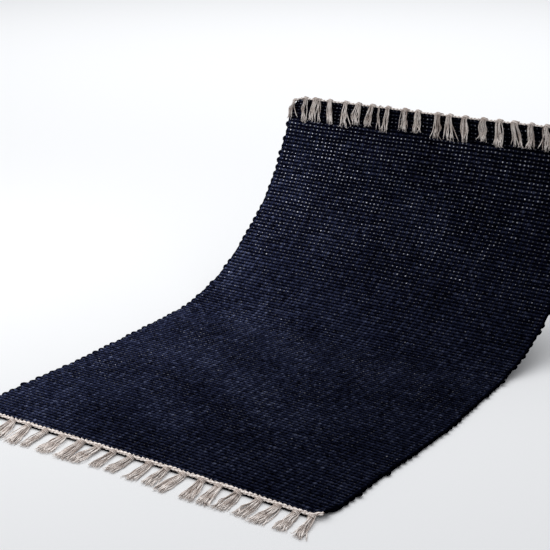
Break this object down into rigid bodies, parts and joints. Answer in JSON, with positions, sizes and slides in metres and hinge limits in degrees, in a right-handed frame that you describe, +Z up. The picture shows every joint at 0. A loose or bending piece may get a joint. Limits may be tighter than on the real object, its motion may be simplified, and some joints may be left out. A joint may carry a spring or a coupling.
{
  "type": "cotton rug",
  "caption": "Flat-woven cotton rug with knotted tassel fringes at both ends, lying flat at the front and sweeping up to an upright back end.",
  "frame": {"origin": "on the floor, under the middle of the rug's box", "axes": "+X across the rug, +Y from the front end to the raised back end, +Z up from the floor"},
  "size_m": [0.6134, 0.8978, 0.3326],
  "materials": {
    "navy_weave": "matte",
    "natural_cotton": "matte"
  },
  "bodies": {
    "root": {"woven_field": "navy_weave", "front_fringe": "natural_cotton", "back_fringe": "natural_cotton"}
  },
  "joints": []
}
